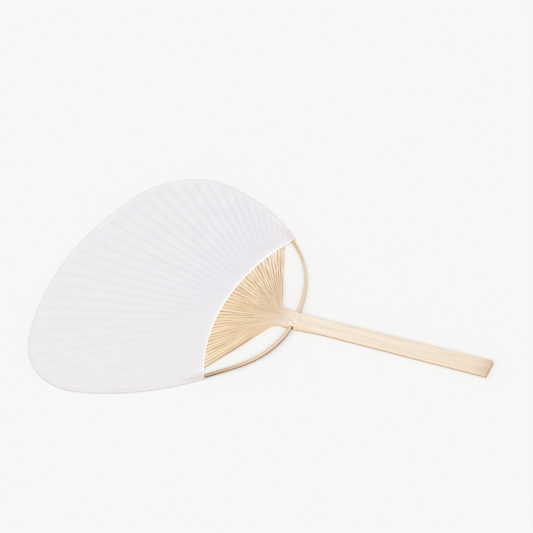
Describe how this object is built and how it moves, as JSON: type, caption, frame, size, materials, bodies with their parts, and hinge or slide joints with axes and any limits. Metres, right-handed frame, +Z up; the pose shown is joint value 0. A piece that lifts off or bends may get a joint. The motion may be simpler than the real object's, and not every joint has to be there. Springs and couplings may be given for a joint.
{
  "type": "round uchiwa fan",
  "caption": "Flat round hand fan of split bamboo and paper, with a plain slat handle and a bent bow through its neck.",
  "frame": {"origin": "under the middle of the overall box, on the plane that the fan's back rests on", "axes": "+X across the fan, +Y from the handle's end to the far rim, +Z up out of the front face"},
  "size_m": [0.24, 0.3702, 0.0048],
  "materials": {
    "bamboo_slat": "satin",
    "bamboo_rib": "satin",
    "bamboo_bow": "satin",
    "thread": "matte",
    "paper": "matte",
    "strip_paper": "matte"
  },
  "bodies": {
    "root": {"handle": "bamboo_slat", "bow": "bamboo_bow", "binding_thread": "thread", "paper_front": "paper", "paper_back": "paper", "edge_strip": "strip_paper", "rib_01": "bamboo_rib", "rib_02": "bamboo_rib", "rib_03": "bamboo_rib", "rib_04": "bamboo_rib", "rib_05": "bamboo_rib", "rib_06": "bamboo_rib", "rib_07": "bamboo_rib", "rib_08": "bamboo_rib", "rib_09": "bamboo_rib", "rib_10": "bamboo_rib", "rib_11": "bamboo_rib", "rib_12": "bamboo_rib", "rib_13": "bamboo_rib", "rib_14": "bamboo_rib", "rib_15": "bamboo_rib", "rib_16": "bamboo_rib", "rib_17": "bamboo_rib", "rib_18": "bamboo_rib", "rib_19": "bamboo_rib", "rib_20": "bamboo_rib", "rib_21": "bamboo_rib", "rib_22": "bamboo_rib", "rib_23": "bamboo_rib", "rib_24": "bamboo_rib", "rib_25": "bamboo_rib", "rib_26": "bamboo_rib", "rib_27": "bamboo_rib", "rib_28": "bamboo_rib", "rib_29": "bamboo_rib", "rib_30": "bamboo_rib", "rib_31": "bamboo_rib", "rib_32": "bamboo_rib", "rib_33": "bamboo_rib", "rib_34": "bamboo_rib", "rib_35": "bamboo_rib", "rib_36": "bamboo_rib", "rib_37": "bamboo_rib", "rib_38": "bamboo_rib", "rib_39": "bamboo_rib"}
  },
  "joints": []
}
